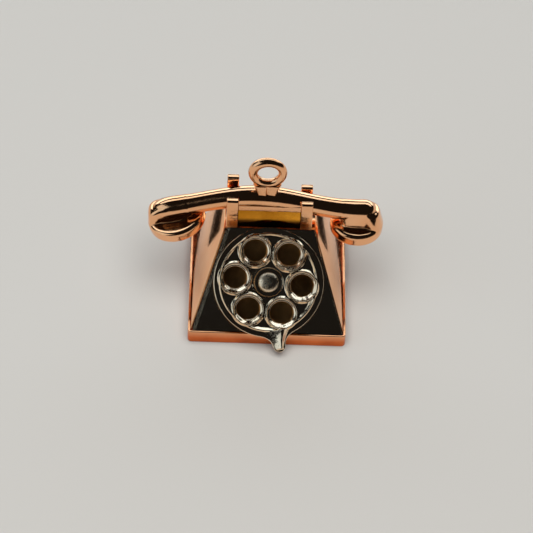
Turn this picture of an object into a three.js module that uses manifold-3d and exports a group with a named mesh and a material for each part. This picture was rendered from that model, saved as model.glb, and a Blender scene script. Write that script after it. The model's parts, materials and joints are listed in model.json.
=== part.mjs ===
// A polished gold charm in the shape of a rotary telephone.
// Millimetres. X runs to the right, Y to the back, Z up.
// The origin is the centre of the face that the charm stands on.
import * as THREE from 'three';
import { ConvexGeometry } from 'three/addons/geometries/ConvexGeometry.js';
import { mergeVertices } from 'three/addons/utils/BufferGeometryUtils.js';
import Module from 'manifold-3d';

const wasm = await Module();
wasm.setup();

// ---- Driving dimensions ----
const SOLDER_GAP = 0.03; // room left between neighbouring pieces
const SHEET = 0.45; // thickness of the body's sheet metal
const CUT_REACH = 2; // how far a drill or a cutter runs past what it cuts

// How many sides a round shape gets.
const RIM_SIDES = 72;
const CUP_SIDES = 40;
const HOLE_SIDES = 28;
const BORE_SIDES = 20;
const ARC_STEPS = 4; // in a quarter turn of a rounded edge

// Plinth: the upright band round the foot of the body.
const PLINTH_WIDTH = 16.1;
const PLINTH_DEPTH = 15.9;
const PLINTH_HEIGHT = 1.4;
const PLINTH_WALL = 0.9;
const PLINTH_LEDGE = 0.18; // how far the band stands out past the panels
const PLINTH_CORNER = 0.3;
const BASE_PLATE_THICKNESS = 0.4;

// Body: a hollow pyramid cut off at the top, with a gentle slope in front.
const PANEL_ANGLE = THREE.MathUtils.degToRad(40);
const PANEL_SLANT = 10.66;
const TOP_WIDTH = 9.25;
const TOP_DEPTH = 3.5;

// Cradle: a neck block between two forks, on which the handset lies.
const CRADLE_OFFSET = -0.15; // it stands a little to the left
const NECK_HEIGHT = 1.8; // room between the top plate and the bar
const FORK_SPACING = 7.56;
const FORK_WIDTH = 1.2;
const PRONG_THICKNESS = 0.6;
const NOTCH_FLOOR = -0.6; // the forks' notch, measured from the bar's axis
const LEFT_FORK = { side: -1, frontRise: 0.65, backRise: 1.33 }; // prong tips above the bar's axis
const RIGHT_FORK = { side: 1, frontRise: 0.48, backRise: 0.18 };
const PRONG_TIP_RADIUS = 0.22;

// Handset: a bowed bar with a round cup under each end.
const HANDSET_LENGTH = 24;
const HANDSET_OFFSET = -0.76; // it lies a little to the left in its cradle
const HANDSET_TILT = THREE.MathUtils.degToRad(-2.54); // and its right end is a little higher
const BAR_RADIUS = 1.15;
const BAR_WAIST_RADIUS = 1.05; // halfway between the middle and the ends
const BAR_END_POWER = 18; // how square the ends are
const BAR_END_SETBACK = 0.3; // the bar ends short of the cups' outer edges
const BAR_STATIONS = 30;
const BOW_DROP = 2.04;
const BOW_HALF_LENGTH = 11.46;
const BOW_CREST = -1.2; // the bow is highest a little left of its middle
const CUP_WALL = 0.5;
const CUP_EDGE_RADIUS = 0.4;
const CUP_CEILING = 0.4;
const CAP_THICKNESS = 0.35;
const CAP_RECESS = 0.1;
const SADDLE_HALF_WIDTH = 1.0; // the cup's raised seat under the bar
// A cup's top is measured from the bar's axis.
const EARPIECE = { x: -9.3, radius: 2.95, height: 1.25, top: -0.93 };
const MOUTHPIECE = { x: 9.55, radius: 2.7, height: 1.35, top: -1.2 };

// Bail: the ring that the charm hangs from, and its collar.
const BAIL_OFFSET = -0.5;
const BAIL_RING_RADIUS = 1.5;
const BAIL_WIRE_RADIUS = 0.47;
const BAIL_RISE = 3.5; // ring centre above the bar's axis
const COLLAR_TOP_WIDTH = 2.7;
const COLLAR_FOOT_WIDTH = 1.7;
const COLLAR_DEPTH = 1.2;
const COLLAR_FOOT_RISE = 0.6;
const COLLAR_TOP_RISE = 1.95;
const COLLAR_CHAMFER = 0.18;

// Dial: heights are measured from the front panel's outer face.
const DIAL_UP_SLOPE = 5.2; // dial centre above the panel's lower edge
const BACKING_RADIUS = 4.7;
const BACKING_TOP = 0.25;
const SPACER_RADIUS = 1.3;
const SPACER_TOP = 0.37;
const WHEEL_UNDERSIDE = 0.4;
const FLANGE_RADIUS = 5.6;
const WEB_TOP = 0.72;
const RIM_RADIUS = 5.1;
const RIM_INNER_RADIUS = 4.78;
const RIM_TOP = 1.12;
const HUB_RADIUS = 1.9;
const WELL_RADIUS = 1.48;
const HUB_TOP = 0.95;
const WELL_FLOOR = 0.6;
const HOLE_COUNT = 6;
const HOLE_PITCH_RADIUS = 3.43;
const HOLE_RADIUS = 1.15;
const COLLAR_RING_RADIUS = 1.47;
const COLLAR_RING_TOP = 1.02;
const HOLE_START_ANGLE = THREE.MathUtils.degToRad(-5.2);
const TAB_ANGLE = THREE.MathUtils.degToRad(-78.5);
// The tab leaves the rim at its root, narrows to its neck and ends in a round tip.
const TAB_ROOT_REACH = 5.1;
const TAB_WAIST_REACH = 5.6;
const TAB_NECK_REACH = 6.2;
const TAB_REACH = 7.2;
const TAB_PLATE = { root: 1.9, waist: 0.85, neck: 0.68, tip: 0.58 }; // half widths
const TAB_RIDGE = { root: 0.85, waist: 0.5, neck: 0.38, tip: 0.22 };
const EDGE_BREAK = 0.08; // small chamfers on the wheel's edges
const JOINT_DEPTH = 0.15; // how far the wheel's raised parts run down into its web
const RIVET_SHANK_RADIUS = 0.4;
const RIVET_HEAD_RADIUS = 1.03;
const RIVET_HEAD_HEIGHT = 0.62;
const RIVET_HEAD_EDGE = 0.12; // straight side under the head's dome
const RIVET_TAIL_RADIUS = 0.62;
const RIVET_TAIL_HEIGHT = 0.3;
const RIVET_TAIL_CHAMFER = 0.15;
const RIVET_WASHER_RADIUS = 1.1;
const RIVET_WASHER_THICKNESS = 0.25;

const GOLD = { color: '#d8a078', roughness: 0.14, metalness: 1 };
const GOLD_INSIDE = { color: '#b98a62', roughness: 0.45, metalness: 1 };

// ---- Places worked out from the dimensions ----
const bodyFootZ = PLINTH_HEIGHT + SOLDER_GAP;
const bodyFootFrontY = -PLINTH_DEPTH / 2 + PLINTH_LEDGE;
const bodyFootBackY = PLINTH_DEPTH / 2 - PLINTH_LEDGE;
const bodyFootHalfWidth = PLINTH_WIDTH / 2 - PLINTH_LEDGE;
const topZ = bodyFootZ + PANEL_SLANT * Math.sin(PANEL_ANGLE);
const topFrontY = bodyFootFrontY + PANEL_SLANT * Math.cos(PANEL_ANGLE);
const topBackY = topFrontY + TOP_DEPTH;
const barY = (topFrontY + topBackY) / 2;
const barZ = topZ + NECK_HEIGHT + BAR_RADIUS;
const handsetPlace = new THREE.Matrix4()
  .makeTranslation(HANDSET_OFFSET, barY, barZ)
  .multiply(new THREE.Matrix4().makeRotationY(HANDSET_TILT));

// ---- Small tools ----
function toSolid(geometry) {
  const plain = geometry.clone();
  plain.deleteAttribute('normal');
  plain.deleteAttribute('uv');
  const merged = mergeVertices(plain, 1e-5);
  return new wasm.Manifold(new wasm.Mesh({
    numProp: 3,
    vertProperties: new Float32Array(merged.attributes.position.array),
    triVerts: new Uint32Array(merged.index.array),
  }));
}

function toGeometry(solid) {
  const mesh = solid.getMesh();
  const geometry = new THREE.BufferGeometry();
  geometry.setAttribute('position', new THREE.BufferAttribute(mesh.vertProperties, 3));
  geometry.setIndex(new THREE.BufferAttribute(mesh.triVerts, 1));
  geometry.computeVertexNormals();
  return geometry;
}

function cut(geometry, ...cutters) {
  return toGeometry(cutters.reduce((solid, cutter) => solid.subtract(toSolid(cutter)), toSolid(geometry)));
}

function join(...geometries) {
  return toGeometry(geometries.map(toSolid).reduce((whole, piece) => whole.add(piece)));
}

function points(...pairs) {
  return pairs.map(([x, y]) => new THREE.Vector2(x, y));
}

// A solid turned round Z from (radius, height) points.
function turned(profile, segments) {
  return new THREE.LatheGeometry(profile, segments).rotateX(Math.PI / 2);
}

// An upright round rod or disc between two heights.
function disc(radius, bottom, top, segments) {
  return turned(points([0, bottom], [radius, bottom], [radius, top], [0, top]), segments);
}

function slab(width, depth, bottom, top) {
  return new THREE.BoxGeometry(width, depth, top - bottom).translate(0, 0, (bottom + top) / 2);
}

function roundedRectangle(width, depth, radius) {
  const x = width / 2;
  const y = depth / 2;
  const shape = new THREE.Shape();
  shape.absarc(x - radius, y - radius, radius, 0, Math.PI / 2);
  shape.absarc(-x + radius, y - radius, radius, Math.PI / 2, Math.PI);
  shape.absarc(-x + radius, -y + radius, radius, Math.PI, Math.PI * 1.5);
  shape.absarc(x - radius, -y + radius, radius, Math.PI * 1.5, Math.PI * 2);
  shape.closePath();
  return shape;
}

function extruded(shape, bottom, top, curveSegments = 6) {
  const options = { depth: top - bottom, bevelEnabled: false, curveSegments };
  return new THREE.ExtrudeGeometry(shape, options).translate(0, 0, bottom);
}

const charm = new THREE.Group();

function add(name, geometry, finish = GOLD, parent = charm) {
  const mesh = new THREE.Mesh(geometry, new THREE.MeshStandardMaterial(finish));
  mesh.name = name;
  parent.add(mesh);
  return mesh;
}

// ---- Plinth and base plate ----
function plinthGeometry() {
  const band = roundedRectangle(PLINTH_WIDTH, PLINTH_DEPTH, PLINTH_CORNER);
  const innerWidth = PLINTH_WIDTH - 2 * PLINTH_WALL;
  const innerDepth = PLINTH_DEPTH - 2 * PLINTH_WALL;
  band.holes.push(roundedRectangle(innerWidth, innerDepth, PLINTH_CORNER));
  return extruded(band, 0, PLINTH_HEIGHT);
}

function basePlateGeometry() {
  const width = PLINTH_WIDTH - 2 * (PLINTH_WALL + SOLDER_GAP);
  const depth = PLINTH_DEPTH - 2 * (PLINTH_WALL + SOLDER_GAP);
  return extruded(roundedRectangle(width, depth, PLINTH_CORNER), 0, BASE_PLATE_THICKNESS);
}

// ---- Body panels ----
// Each face of the body is a plane. A panel lies between its own plane and the same
// plane moved in by the sheet thickness, and is mitred against its neighbours.
function facePlane(a, b, c) {
  return new THREE.Plane().setFromCoplanarPoints(a, b, c);
}

function movedIn(plane) {
  return new THREE.Plane(plane.normal.clone(), plane.constant + SHEET);
}

function meetingPoint(p, q, r) {
  const qr = q.normal.clone().cross(r.normal);
  const rp = r.normal.clone().cross(p.normal);
  const pq = p.normal.clone().cross(q.normal);
  const sum = qr.clone().multiplyScalar(p.constant);
  sum.addScaledVector(rp, q.constant).addScaledVector(pq, r.constant);
  return sum.multiplyScalar(-1 / p.normal.dot(qr));
}

function bodyFaces() {
  const foot = (x, y) => new THREE.Vector3(x * bodyFootHalfWidth, y, bodyFootZ);
  const top = (x, y) => new THREE.Vector3(x * TOP_WIDTH / 2, y, topZ);
  return {
    front: facePlane(foot(-1, bodyFootFrontY), foot(1, bodyFootFrontY), top(1, topFrontY)),
    right: facePlane(foot(1, bodyFootFrontY), foot(1, bodyFootBackY), top(1, topBackY)),
    back: facePlane(foot(1, bodyFootBackY), foot(-1, bodyFootBackY), top(-1, topBackY)),
    left: facePlane(foot(-1, bodyFootBackY), foot(-1, bodyFootFrontY), top(-1, topFrontY)),
    top: new THREE.Plane(new THREE.Vector3(0, 0, 1), -topZ),
  };
}

// The panel's four corners in order, each the meeting point of its face and two borders.
function panelGeometry(face, borders) {
  const count = borders.length;
  const corners = (own, edges) => edges.map((edge, i) => meetingPoint(own, edge, edges[(i + 1) % count]));
  const outer = corners(face, borders);
  const innerBorders = borders.map((border) => (border === footPlane ? border : movedIn(border)));
  const inner = corners(movedIn(face), innerBorders);
  const shifts = outer.map((corner, i) => {
    const ahead = outer[(i + 1) % count].clone().sub(corner).normalize();
    const behind = outer[(i + count - 1) % count].clone().sub(corner).normalize();
    const sine = ahead.clone().cross(behind).length();
    return ahead.add(behind).multiplyScalar(SOLDER_GAP / 2 / sine);
  });
  const all = [...outer, ...inner].map((corner, i) => corner.clone().add(shifts[i % count]));
  return new ConvexGeometry(all);
}

const footPlane = new THREE.Plane(new THREE.Vector3(0, 0, -1), bodyFootZ);
const faces = bodyFaces();

// ---- Cradle ----
// Every part of the cradle is cut to fit round the bar, with a solder gap.
function cutToTheBar(geometry) {
  return cut(geometry, barGeometry(SOLDER_GAP).applyMatrix4(handsetPlace));
}

function neckGeometry() {
  const width = FORK_SPACING - FORK_WIDTH - 2 * SOLDER_GAP;
  const block = slab(width, TOP_DEPTH, topZ + SOLDER_GAP, barZ - BAR_WAIST_RADIUS);
  return cutToTheBar(block.translate(CRADLE_OFFSET, barY, 0));
}

// Outline of a fork seen from the right: Y runs across and Z up, from the bar's axis.
function forkOutline({ frontRise, backRise }) {
  const out = TOP_DEPTH / 2;
  const inn = out - PRONG_THICKNESS;
  const foot = topZ + SOLDER_GAP - barZ;
  const r = PRONG_TIP_RADIUS;
  const shape = new THREE.Shape();
  shape.moveTo(-out, foot);
  shape.lineTo(out, foot);
  shape.absarc(out - r, backRise - r, r, 0, Math.PI / 2);
  shape.absarc(inn + r, backRise - r, r, Math.PI / 2, Math.PI);
  shape.lineTo(inn, NOTCH_FLOOR);
  shape.lineTo(-inn, NOTCH_FLOOR);
  shape.absarc(-inn - r, frontRise - r, r, 0, Math.PI / 2);
  shape.absarc(-out + r, frontRise - r, r, Math.PI / 2, Math.PI);
  shape.closePath();
  return shape;
}

function forkGeometry(fork) {
  const plate = extruded(forkOutline(fork), -FORK_WIDTH / 2, FORK_WIDTH / 2, ARC_STEPS);
  plate.rotateX(Math.PI / 2).rotateZ(Math.PI / 2);
  return cutToTheBar(plate.translate(CRADLE_OFFSET + fork.side * FORK_SPACING / 2, barY, barZ));
}

// ---- Handset ----
function bowDrop(x) {
  return BOW_DROP * (1 - Math.cos(Math.PI * (x - BOW_CREST) / BOW_HALF_LENGTH)) / 2;
}

function bowAngle(x) {
  const steepest = BOW_DROP * Math.PI / (2 * BOW_HALF_LENGTH);
  return Math.atan(steepest * Math.sin(Math.PI * (x - BOW_CREST) / BOW_HALF_LENGTH));
}

function barRadiusAt(share) {
  const wave = (1 + Math.cos(2 * Math.PI * share)) / 2;
  return BAR_WAIST_RADIUS + (BAR_RADIUS - BAR_WAIST_RADIUS) * wave;
}

// The bar is turned round X with rounded ends, then bowed downwards at both ends.
function barGeometry(growth) {
  const half = HANDSET_LENGTH / 2 - BAR_END_SETBACK + growth;
  const profile = [];
  for (let i = 0; i <= BAR_STATIONS; i += 1) {
    const share = Math.sin(Math.PI * (i / BAR_STATIONS - 0.5));
    const endRound = Math.sqrt(Math.max(0, 1 - Math.abs(share) ** BAR_END_POWER));
    const radius = i === 0 || i === BAR_STATIONS ? 0 : (barRadiusAt(share) + growth) * endRound;
    profile.push(new THREE.Vector2(radius, share * half));
  }
  const bar = new THREE.LatheGeometry(profile, HOLE_SIDES).rotateZ(-Math.PI / 2);
  const position = bar.attributes.position;
  for (let i = 0; i < position.count; i += 1) {
    position.setZ(i, position.getZ(i) - bowDrop(position.getX(i)));
  }
  return bar;
}

function placedOnBow(geometry, x) {
  return geometry.rotateY(bowAngle(x)).translate(x, 0, -bowDrop(x));
}

function cupGeometry({ x, radius, height, top }) {
  const r = CUP_EDGE_RADIUS;
  const bottom = top - height;
  const profile = points([0, top - CUP_CEILING], [radius - CUP_WALL, top - CUP_CEILING]);
  profile.push(...points([radius - CUP_WALL, bottom], [radius - r, bottom]));
  for (let i = 1; i <= ARC_STEPS; i += 1) {
    const angle = (i / ARC_STEPS) * Math.PI / 2;
    const across = radius - r + r * Math.sin(angle);
    profile.push(new THREE.Vector2(across, bottom + r - r * Math.cos(angle)));
  }
  for (let i = 0; i <= ARC_STEPS; i += 1) {
    const angle = (i / ARC_STEPS) * Math.PI / 2;
    const across = radius - r + r * Math.cos(angle);
    profile.push(new THREE.Vector2(across, top - r + r * Math.sin(angle)));
  }
  profile.push(new THREE.Vector2(0, top));
  const cup = join(turned(profile, CUP_SIDES), saddleGeometry(Math.sign(x), radius, top));
  return cut(placedOnBow(cup, x), barGeometry(SOLDER_GAP));
}

// The seat runs from the middle of the cup to its outer edge, with rounded ends.
function saddleGeometry(side, cupRadius, cupTop) {
  const r = SADDLE_HALF_WIDTH;
  const reach = cupRadius - CUP_EDGE_RADIUS / 2 - r;
  const shape = new THREE.Shape();
  shape.absarc(reach, 0, r, -Math.PI / 2, Math.PI / 2);
  shape.absarc(0, 0, r, Math.PI / 2, Math.PI * 1.5);
  shape.closePath();
  const seat = extruded(shape, cupTop - CUP_CEILING / 2, -BAR_WAIST_RADIUS / 2, 2 * ARC_STEPS);
  return side > 0 ? seat : seat.rotateZ(Math.PI);
}

function capGeometry({ x, radius, height, top }) {
  const bottom = top - height + CAP_RECESS;
  const cap = disc(radius - CUP_WALL - SOLDER_GAP, bottom, bottom + CAP_THICKNESS, CUP_SIDES);
  return placedOnBow(cap, x);
}

// ---- Bail ----
function bailRingGeometry(growth) {
  const ring = new THREE.TorusGeometry(BAIL_RING_RADIUS, BAIL_WIRE_RADIUS + growth, 14, 36);
  return ring.rotateX(Math.PI / 2).translate(BAIL_OFFSET, barY, barZ + BAIL_RISE);
}

// A wedge that is widest under the ring, with its upper corners taken off.
function bailCollarGeometry() {
  const foot = COLLAR_FOOT_WIDTH / 2;
  const top = COLLAR_TOP_WIDTH / 2;
  const outline = points(
    [-foot, COLLAR_FOOT_RISE],
    [foot, COLLAR_FOOT_RISE],
    [top, COLLAR_TOP_RISE - COLLAR_CHAMFER],
    [top - COLLAR_CHAMFER, COLLAR_TOP_RISE],
    [-top + COLLAR_CHAMFER, COLLAR_TOP_RISE],
    [-top, COLLAR_TOP_RISE - COLLAR_CHAMFER],
  );
  const block = extruded(new THREE.Shape(outline), -COLLAR_DEPTH / 2, COLLAR_DEPTH / 2);
  block.rotateX(Math.PI / 2).translate(BAIL_OFFSET, barY, barZ);
  return cutToTheBar(cut(block, bailRingGeometry(SOLDER_GAP)));
}

// ---- Dial, in the front panel's own frame ----
function wheelDiscGeometry() {
  const e = EDGE_BREAK;
  const profile = points(
    [0, WHEEL_UNDERSIDE],
    [FLANGE_RADIUS - e, WHEEL_UNDERSIDE],
    [FLANGE_RADIUS, WHEEL_UNDERSIDE + e],
    [FLANGE_RADIUS, WEB_TOP - e],
    [FLANGE_RADIUS - e, WEB_TOP],
    [RIM_RADIUS, WEB_TOP],
    [RIM_RADIUS, RIM_TOP - e],
    [RIM_RADIUS - e, RIM_TOP],
    [RIM_INNER_RADIUS + e, RIM_TOP],
    [RIM_INNER_RADIUS, RIM_TOP - e],
    [RIM_INNER_RADIUS, WEB_TOP],
    [HUB_RADIUS, WEB_TOP],
    [HUB_RADIUS - e, HUB_TOP],
    [WELL_RADIUS, HUB_TOP],
    [WELL_RADIUS, WELL_FLOOR],
    [0, WELL_FLOOR],
  );
  return turned(profile, RIM_SIDES);
}

function holeCollarGeometry() {
  const profile = points(
    [0, WEB_TOP - JOINT_DEPTH],
    [COLLAR_RING_RADIUS, WEB_TOP - JOINT_DEPTH],
    [COLLAR_RING_RADIUS, COLLAR_RING_TOP - EDGE_BREAK],
    [COLLAR_RING_RADIUS - EDGE_BREAK, COLLAR_RING_TOP],
    [0, COLLAR_RING_TOP],
  );
  return turned(profile, HOLE_SIDES);
}

// The outline of the tab's plate or of its ridge. It points along -Y before it is turned.
function tabOutline(half) {
  const tipY = -TAB_REACH + TAB_PLATE.tip;
  const shape = new THREE.Shape();
  shape.moveTo(-half.root, -TAB_ROOT_REACH);
  shape.quadraticCurveTo(-half.waist, -TAB_WAIST_REACH, -half.neck, -TAB_NECK_REACH);
  shape.lineTo(-half.tip, tipY);
  shape.absarc(0, tipY, half.tip, Math.PI, Math.PI * 2);
  shape.lineTo(half.neck, -TAB_NECK_REACH);
  shape.quadraticCurveTo(half.waist, -TAB_WAIST_REACH, half.root, -TAB_ROOT_REACH);
  shape.closePath();
  return shape;
}

function tabGeometry() {
  const plate = extruded(tabOutline(TAB_PLATE), WHEEL_UNDERSIDE, WEB_TOP);
  const ridge = extruded(tabOutline(TAB_RIDGE), WEB_TOP - JOINT_DEPTH, HUB_TOP);
  return join(plate, ridge).rotateZ(TAB_ANGLE + Math.PI / 2);
}

function fingerWheelGeometry() {
  const holePlaces = Array.from({ length: HOLE_COUNT }, (_, i) => {
    const angle = HOLE_START_ANGLE + (i / HOLE_COUNT) * Math.PI * 2;
    return [HOLE_PITCH_RADIUS * Math.cos(angle), HOLE_PITCH_RADIUS * Math.sin(angle)];
  });
  const collars = holePlaces.map(([x, y]) => holeCollarGeometry().translate(x, y, 0));
  const holes = holePlaces.map(([x, y]) => disc(HOLE_RADIUS, 0, CUT_REACH, HOLE_SIDES).translate(x, y, 0));
  const bore = disc(RIVET_SHANK_RADIUS + SOLDER_GAP, 0, CUT_REACH, BORE_SIDES);
  return cut(join(wheelDiscGeometry(), ...collars, tabGeometry()), ...holes, bore);
}

function rivetGeometry() {
  const headFoot = WELL_FLOOR + SOLDER_GAP;
  const tailTop = -SHEET - RIVET_WASHER_THICKNESS - 2 * SOLDER_GAP;
  const profile = points(
    [0, tailTop - RIVET_TAIL_HEIGHT],
    [RIVET_TAIL_RADIUS - RIVET_TAIL_CHAMFER, tailTop - RIVET_TAIL_HEIGHT],
    [RIVET_TAIL_RADIUS, tailTop - RIVET_TAIL_HEIGHT + RIVET_TAIL_CHAMFER],
    [RIVET_TAIL_RADIUS, tailTop],
    [RIVET_SHANK_RADIUS, tailTop],
    [RIVET_SHANK_RADIUS, headFoot],
    [RIVET_HEAD_RADIUS, headFoot],
  );
  for (let i = 0; i < 2 * ARC_STEPS; i += 1) {
    const angle = (i / (2 * ARC_STEPS)) * Math.PI / 2;
    const height = RIVET_HEAD_EDGE + (RIVET_HEAD_HEIGHT - RIVET_HEAD_EDGE) * Math.sin(angle);
    profile.push(new THREE.Vector2(RIVET_HEAD_RADIUS * Math.cos(angle), headFoot + height));
  }
  profile.push(new THREE.Vector2(0, headFoot + RIVET_HEAD_HEIGHT));
  return turned(profile, HOLE_SIDES);
}

function washer(outerRadius, bottom, top) {
  const hole = disc(RIVET_SHANK_RADIUS + SOLDER_GAP, bottom - CUT_REACH, top + CUT_REACH, BORE_SIDES);
  return cut(disc(outerRadius, bottom, top, HOLE_SIDES), hole);
}

// ---- Assembly ----
add('plinth_frame', plinthGeometry());
add('base_plate', basePlateGeometry());

const dialCentre = new THREE.Vector3(
  0,
  bodyFootFrontY + DIAL_UP_SLOPE * Math.cos(PANEL_ANGLE),
  bodyFootZ + DIAL_UP_SLOPE * Math.sin(PANEL_ANGLE),
);
const rivetHole = disc(RIVET_SHANK_RADIUS + SOLDER_GAP, -CUT_REACH, CUT_REACH, BORE_SIDES);
rivetHole.rotateX(PANEL_ANGLE).translate(dialCentre.x, dialCentre.y, dialCentre.z);
const frontPanel = panelGeometry(faces.front, [footPlane, faces.right, faces.top, faces.left]);
add('front_panel', cut(frontPanel, rivetHole));
add('right_side_panel', panelGeometry(faces.right, [footPlane, faces.back, faces.top, faces.front]));
add('back_panel', panelGeometry(faces.back, [footPlane, faces.left, faces.top, faces.right]));
add('left_side_panel', panelGeometry(faces.left, [footPlane, faces.front, faces.top, faces.back]));
add('top_plate', panelGeometry(faces.top, [faces.front, faces.right, faces.back, faces.left]));

add('cradle_neck', neckGeometry());
add('left_cradle_fork', forkGeometry(LEFT_FORK));
add('right_cradle_fork', forkGeometry(RIGHT_FORK));

const handset = new THREE.Group();
handset.applyMatrix4(handsetPlace);
charm.add(handset);
add('handset_bar', barGeometry(0), GOLD, handset);
add('earpiece_cup', cupGeometry(EARPIECE), GOLD, handset);
add('mouthpiece_cup', cupGeometry(MOUTHPIECE), GOLD, handset);
add('earpiece_cap', capGeometry(EARPIECE), GOLD, handset);
add('mouthpiece_cap', capGeometry(MOUTHPIECE), GOLD, handset);
add('bail_collar', bailCollarGeometry());
add('bail_ring', bailRingGeometry(0));

const dial = new THREE.Group();
dial.position.copy(dialCentre);
dial.rotation.x = PANEL_ANGLE;
charm.add(dial);
add('dial_backing_disc', washer(BACKING_RADIUS, SOLDER_GAP, BACKING_TOP), GOLD_INSIDE, dial);
add('dial_spacer', washer(SPACER_RADIUS, BACKING_TOP + SOLDER_GAP, SPACER_TOP), GOLD_INSIDE, dial);
add('finger_wheel', fingerWheelGeometry(), GOLD, dial);
add('dial_rivet', rivetGeometry(), GOLD, dial);
const washerTop = -SHEET - SOLDER_GAP;
const rivetWasher = washer(RIVET_WASHER_RADIUS, washerTop - RIVET_WASHER_THICKNESS, washerTop);
add('rivet_washer', rivetWasher, GOLD_INSIDE, dial);

export default charm;
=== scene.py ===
"""A polished gold charm in the shape of a rotary telephone, standing on a pale floor.

Shapes are built in millimetres, and scaled to Blender's metres when a piece is finished.
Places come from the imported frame, and each piece stands for the CAD node it replaces.
"""

import json
import math

import bmesh
import bpy
from mathutils import Matrix, Vector, noise as value_noise


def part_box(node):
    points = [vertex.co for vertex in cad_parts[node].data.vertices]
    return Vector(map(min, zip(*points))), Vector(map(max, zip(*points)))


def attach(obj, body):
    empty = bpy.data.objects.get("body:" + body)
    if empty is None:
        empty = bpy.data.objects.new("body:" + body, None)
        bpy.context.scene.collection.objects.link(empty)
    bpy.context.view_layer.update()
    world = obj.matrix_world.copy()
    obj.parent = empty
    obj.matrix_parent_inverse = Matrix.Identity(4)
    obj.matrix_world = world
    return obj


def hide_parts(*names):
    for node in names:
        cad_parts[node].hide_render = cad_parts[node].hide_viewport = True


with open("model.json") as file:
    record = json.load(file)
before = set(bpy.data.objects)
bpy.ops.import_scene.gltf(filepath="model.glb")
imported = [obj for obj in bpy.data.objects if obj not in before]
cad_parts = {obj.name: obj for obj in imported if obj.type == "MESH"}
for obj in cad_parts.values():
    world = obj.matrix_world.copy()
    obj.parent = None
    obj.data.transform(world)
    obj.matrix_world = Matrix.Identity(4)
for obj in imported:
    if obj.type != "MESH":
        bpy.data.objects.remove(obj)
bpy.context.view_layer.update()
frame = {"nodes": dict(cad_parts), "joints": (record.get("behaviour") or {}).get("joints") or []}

MM = 0.001
BODY = "charm_body"
DIAL = "dial"

# ---- Places read from the frame, in millimetres ----


def box_mm(node):
    low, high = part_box(node)
    return low / MM, high / MM


plinth_low, plinth_high = box_mm("plinth_frame")
top_low, top_high = box_mm("top_plate")
ring_low, ring_high = box_mm("bail_ring")
dial_joint = next(j for j in frame["joints"] if j["name"] == "dial_turn")
dial_centre = Vector(dial_joint["pos_m"]) / MM
dial_axis = Vector(dial_joint["axis"]).normalized()
panel_angle = math.acos(dial_axis.z)  # the front panel's slope, which the dial turns square to
dial_place = Matrix.Translation(dial_centre) @ Matrix.Rotation(panel_angle, 4, "X")
ring_centre = (ring_low + ring_high) / 2
BAR_RADIUS = 1.15
NECK_HEIGHT = 1.8  # from the top plate to the underside of the bar
bar_y = (top_low.y + top_high.y) / 2
bar_z = top_high.z + NECK_HEIGHT + BAR_RADIUS

# ---- Camera, with its distances in millimetres ----
CAMERA_YAW = math.radians(2.06)
CAMERA_ELEVATION = math.radians(48.0)
CAMERA_ROLL = math.radians(3.47)
CAMERA_DISTANCE = 316.0
AIM = Vector((0, 0, 6.0))
AIM_RIGHT = 0.28
AIM_UP = 2.0
LENS = 208.5


def make_camera():
    sine, cosine = math.sin(CAMERA_ELEVATION), math.cos(CAMERA_ELEVATION)
    ahead = Vector((math.sin(CAMERA_YAW) * cosine, math.cos(CAMERA_YAW) * cosine, -sine))
    right = Vector((math.cos(CAMERA_YAW), -math.sin(CAMERA_YAW), 0))
    up = right.cross(ahead)
    turned_right = right * math.cos(CAMERA_ROLL) + up * math.sin(CAMERA_ROLL)
    turned_up = up * math.cos(CAMERA_ROLL) - right * math.sin(CAMERA_ROLL)
    place = AIM - ahead * CAMERA_DISTANCE - turned_right * AIM_RIGHT - turned_up * AIM_UP
    camera = bpy.data.objects.new("camera", bpy.data.cameras.new("camera"))
    axes = Matrix((turned_right, turned_up, -ahead)).transposed().to_4x4()
    camera.matrix_world = Matrix.Translation(place * MM) @ axes
    camera.data.lens = LENS
    camera.data.sensor_width = 36.0
    camera.data.clip_start = 0.01
    camera.data.clip_end = 20.0
    bpy.context.scene.collection.objects.link(camera)
    bpy.context.scene.camera = camera


make_camera()

# ---- Node tools ----


def new_material(name):
    material = bpy.data.materials.new(name)
    material.use_nodes = True
    return material, material.node_tree.nodes["Principled BSDF"]


def link(tree, out_socket, in_socket):
    tree.links.new(out_socket, in_socket)


def object_position(tree):
    """The place on the piece, in metres."""
    return tree.nodes.new("ShaderNodeTexCoord").outputs["Object"]


def noise(tree, position, scale, detail=4.0, roughness=0.55, distortion=0.0):
    node = tree.nodes.new("ShaderNodeTexNoise")
    node.inputs["Scale"].default_value = scale
    node.inputs["Detail"].default_value = detail
    node.inputs["Roughness"].default_value = roughness
    node.inputs["Distortion"].default_value = distortion
    link(tree, position, node.inputs["Vector"])
    return node.outputs["Fac"]


def ramp(tree, value, *stops):
    """A colour ramp from (place, colour) stops."""
    node = tree.nodes.new("ShaderNodeValToRGB")
    while len(node.color_ramp.elements) < len(stops):
        node.color_ramp.elements.new(0.5)
    for element, (place, colour) in zip(node.color_ramp.elements, stops):
        element.position = place
        element.color = (*colour, 1)
    link(tree, value, node.inputs["Fac"])
    return node.outputs["Color"]


def map_range(tree, value, from_low, from_high, to_low, to_high):
    node = tree.nodes.new("ShaderNodeMapRange")
    for key, number in zip(("From Min", "From Max", "To Min", "To Max"),
                           (from_low, from_high, to_low, to_high)):
        node.inputs[key].default_value = number
    link(tree, value, node.inputs["Value"])
    return node.outputs["Result"]


def combine(tree, operation, a, b):
    node = tree.nodes.new("ShaderNodeMath")
    node.operation = operation
    for i, value in enumerate((a, b)):
        if isinstance(value, (int, float)):
            node.inputs[i].default_value = value
        else:
            link(tree, value, node.inputs[i])
    return node.outputs["Value"]


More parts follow.
